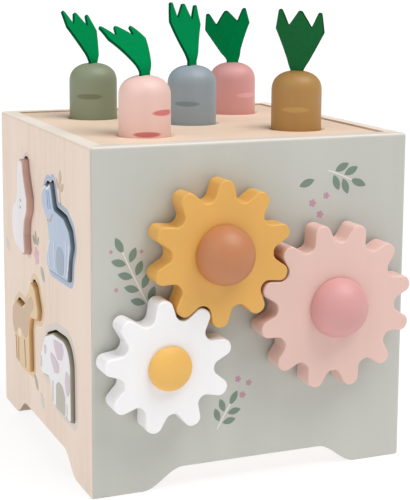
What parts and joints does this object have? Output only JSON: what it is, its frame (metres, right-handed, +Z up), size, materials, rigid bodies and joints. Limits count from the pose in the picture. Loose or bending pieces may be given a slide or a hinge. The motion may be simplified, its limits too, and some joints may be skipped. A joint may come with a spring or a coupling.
{
  "type": "wooden activity cube",
  "caption": "Wooden activity box with meshing gears on the front, animal-shaped blocks in a side wall and carrots standing in a lift-off lid.",
  "frame": {"origin": "on the floor, under the middle of the whole object's footprint", "axes": "+Z up from the floor; -Y out of the wall that carries the gears; -X out of the wall that holds the animal blocks"},
  "size_m": [0.2044, 0.237, 0.2781],
  "materials": {
    "paint_front": "matt water-based paint on wood",
    "birch": "sanded birch plywood",
    "birch_lid": "sanded birch plywood, fine grain",
    "paint_carrot_sage": "satin paint on turned wood",
    "felt_green": "stiff wool felt",
    "paint_carrot_blush": "satin paint on turned wood",
    "paint_carrot_blue": "satin paint on turned wood",
    "paint_carrot_rose": "satin paint on turned wood",
    "paint_carrot_mustard": "satin paint on turned wood",
    "paint_gear_yellow": "satin paint on wood",
    "paint_knob_yellow": "satin paint on turned wood",
    "paint_gear_pink": "satin paint on wood",
    "paint_knob_pink": "satin paint on turned wood",
    "paint_gear_white": "satin paint on wood",
    "paint_knob_white": "satin paint on turned wood",
    "paint_block_goose": "satin paint on wood",
    "paint_block_donkey": "satin paint on wood",
    "paint_block_horse": "satin paint on wood",
    "paint_block_cow": "satin paint on wood"
  },
  "bodies": {
    "cube": {"front_panel": "paint_front", "back_panel": "birch", "left_panel": "birch", "right_panel": "birch", "base_board": "birch", "corner_post_front_left": "birch", "corner_post_front_right": "birch", "corner_post_rear_left": "birch", "corner_post_rear_right": "birch", "washer_yellow": "birch", "knob_yellow": "paint_knob_yellow", "axle_yellow": "birch", "washer_pink": "birch", "knob_pink": "paint_knob_pink", "axle_pink": "birch", "washer_white": "birch", "knob_white": "paint_knob_white", "axle_white": "birch"},
    "lid": {"lid_board": "birch_lid"},
    "pull_sage": {"carrot_sage": "paint_carrot_sage", "leaf_sage": "felt_green"},
    "pull_blush": {"carrot_blush": "paint_carrot_blush", "leaf_blush": "felt_green"},
    "pull_blue": {"carrot_blue": "paint_carrot_blue", "leaf_blue": "felt_green"},
    "pull_rose": {"carrot_rose": "paint_carrot_rose", "leaf_rose": "felt_green"},
    "pull_mustard": {"carrot_mustard": "paint_carrot_mustard", "leaf_mustard": "felt_green"},
    "wheel_yellow": {"gear_yellow": "paint_gear_yellow"},
    "wheel_pink": {"gear_pink": "paint_gear_pink"},
    "wheel_white": {"gear_white": "paint_gear_white"},
    "piece_goose": {"block_goose": "paint_block_goose"},
    "piece_donkey": {"block_donkey": "paint_block_donkey"},
    "piece_horse": {"block_horse": "paint_block_horse"},
    "piece_cow": {"block_cow": "paint_block_cow"}
  },
  "joints": [
    {"name": "lid_lift", "type": "slide", "parent": "cube", "child": "lid", "axis": [0, 0, 1], "range_m": [0, 0.06]},
    {"name": "sage_pull", "type": "slide", "parent": "lid", "child": "pull_sage", "axis": [0, 0, 1], "range_m": [0, 0.055]},
    {"name": "blush_pull", "type": "slide", "parent": "lid", "child": "pull_blush", "axis": [0, 0, 1], "range_m": [0, 0.055]},
    {"name": "blue_pull", "type": "slide", "parent": "lid", "child": "pull_blue", "axis": [0, 0, 1], "range_m": [0, 0.055]},
    {"name": "rose_pull", "type": "slide", "parent": "lid", "child": "pull_rose", "axis": [0, 0, 1], "range_m": [0, 0.055]},
    {"name": "mustard_pull", "type": "slide", "parent": "lid", "child": "pull_mustard", "axis": [0, 0, 1], "range_m": [0, 0.055]},
    {"name": "yellow_spin", "type": "hinge", "parent": "cube", "child": "wheel_yellow", "pos_m": [-0.0251, -0.08155, 0.1406], "axis": [0, -1, 0], "continuous": true},
    {"name": "pink_spin", "type": "hinge", "parent": "cube", "child": "wheel_pink", "pos_m": [0.04752, -0.08155, 0.10383], "axis": [0, -1, 0], "continuous": true},
    {"name": "white_spin", "type": "hinge", "parent": "cube", "child": "wheel_white", "pos_m": [-0.05767, -0.08155, 0.0783], "axis": [0, -1, 0], "continuous": true},
    {"name": "goose_push", "type": "slide", "parent": "cube", "child": "piece_goose", "axis": [-1, 0, 0], "range_m": [-0.0144, 0.0136]},
    {"name": "donkey_push", "type": "slide", "parent": "cube", "child": "piece_donkey", "axis": [-1, 0, 0], "range_m": [-0.012, 0.016]},
    {"name": "horse_push", "type": "slide", "parent": "cube", "child": "piece_horse", "axis": [-1, 0, 0], "range_m": [-0.0124, 0.0156]},
    {"name": "cow_push", "type": "slide", "parent": "cube", "child": "piece_cow", "axis": [-1, 0, 0], "range_m": [-0.0122, 0.0158]}
  ],
  "couplings": [
    {"joint": "pink_spin", "follows": "yellow_spin", "ratio": -0.83333},
    {"joint": "white_spin", "follows": "yellow_spin", "ratio": -1.1111}
  ]
}
